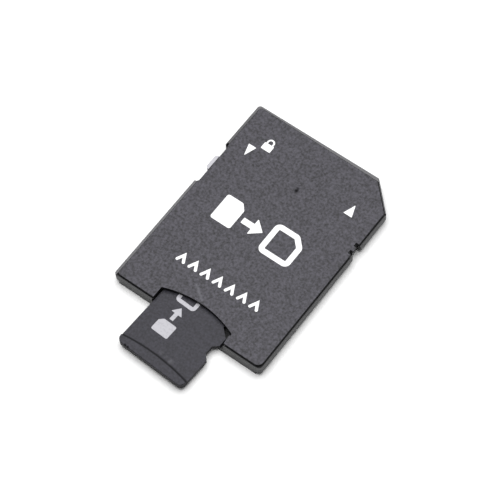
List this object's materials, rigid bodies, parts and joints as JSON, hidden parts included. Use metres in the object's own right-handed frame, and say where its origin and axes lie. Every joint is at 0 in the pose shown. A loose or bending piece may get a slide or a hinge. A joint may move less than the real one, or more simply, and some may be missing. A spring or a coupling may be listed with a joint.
{
  "type": "memory card adapter with small memory card",
  "caption": "Flat card-shaped adapter with a cut corner, sliding lock tab and a small memory card part way into its rear slot.",
  "frame": {"origin": "middle of the 24 by 32 mm outline of the adapter, on its contact face", "axes": "+Z out of the label side, +Y towards the front edge that enters the host, +X towards the side with the cut corner"},
  "size_m": [0.024, 0.0396, 0.0021],
  "materials": {
    "adapter_shell": "fine moulded texture, dark grey",
    "slider_white": "smooth white moulding",
    "carrier_moulding": "black moulding",
    "card_moulding": "satin moulded epoxy, dark grey",
    "spring_steel": "rolled spring strip",
    "contact_gold": "gold plated"
  },
  "bodies": {
    "adapter": {"lower_cover": "adapter_shell", "upper_cover": "adapter_shell", "terminal_carrier": "carrier_moulding", "card_latch": "spring_steel", "terminal_1": "contact_gold", "terminal_2": "contact_gold", "terminal_3": "contact_gold", "terminal_4": "contact_gold", "terminal_5": "contact_gold", "terminal_6": "contact_gold", "terminal_7": "contact_gold", "terminal_8": "contact_gold"},
    "slider": {"lock_slider": "slider_white"},
    "small_card": {"card_body": "card_moulding", "card_pad_1": "contact_gold", "card_pad_2": "contact_gold", "card_pad_3": "contact_gold", "card_pad_4": "contact_gold", "card_pad_5": "contact_gold", "card_pad_6": "contact_gold", "card_pad_7": "contact_gold", "card_pad_8": "contact_gold"}
  },
  "joints": [
    {"name": "lock_slide", "type": "slide", "parent": "adapter", "child": "slider", "axis": [0, 1, 0], "range_m": [-0.0021, 0.0017]},
    {"name": "card_slide", "type": "slide", "parent": "adapter", "child": "small_card", "axis": [0.0454, 0.999, 0], "range_m": [-0.0085, 0.0074]}
  ]
}
